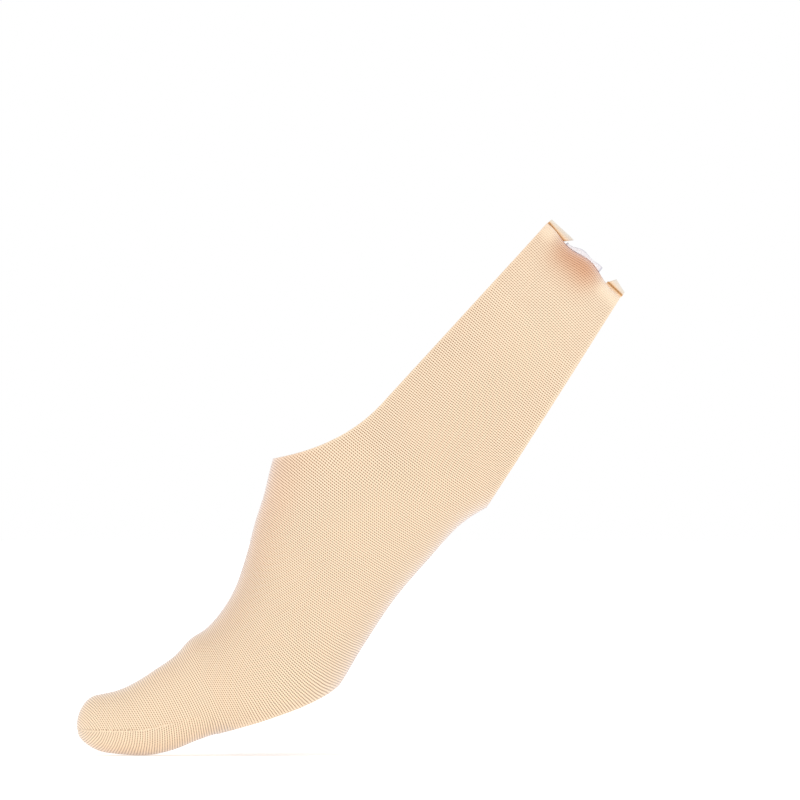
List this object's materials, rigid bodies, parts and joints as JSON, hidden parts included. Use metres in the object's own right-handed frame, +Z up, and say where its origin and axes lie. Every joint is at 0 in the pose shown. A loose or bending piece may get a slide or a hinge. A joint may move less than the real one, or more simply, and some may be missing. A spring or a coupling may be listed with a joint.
{
  "type": "bunion sleeve",
  "caption": "Thin beige knitted bunion sleeve with a closed big-toe pocket, a midfoot tube, an open front and ankle, and a sling-back strap round the heel cord.",
  "frame": {"origin": "middle of the tube's hollow, where the middle of the foot sits", "axes": "+X from the toe pocket towards the heel strap, +Y to the outer side of a right foot, +Z up out of the ankle opening"},
  "size_m": [0.1915, 0.0895, 0.1872],
  "materials": {
    "knit": "fine open-mesh elastic knit in skin beige",
    "seam_allowance": "cut edge of the same knit, two layers",
    "label": "thin white satin ribbon, blank"
  },
  "bodies": {
    "root": {"knit_sleeve": "knit", "seam_tab_upper": "seam_allowance", "seam_tab_lower": "seam_allowance", "back_label": "label"}
  },
  "joints": []
}
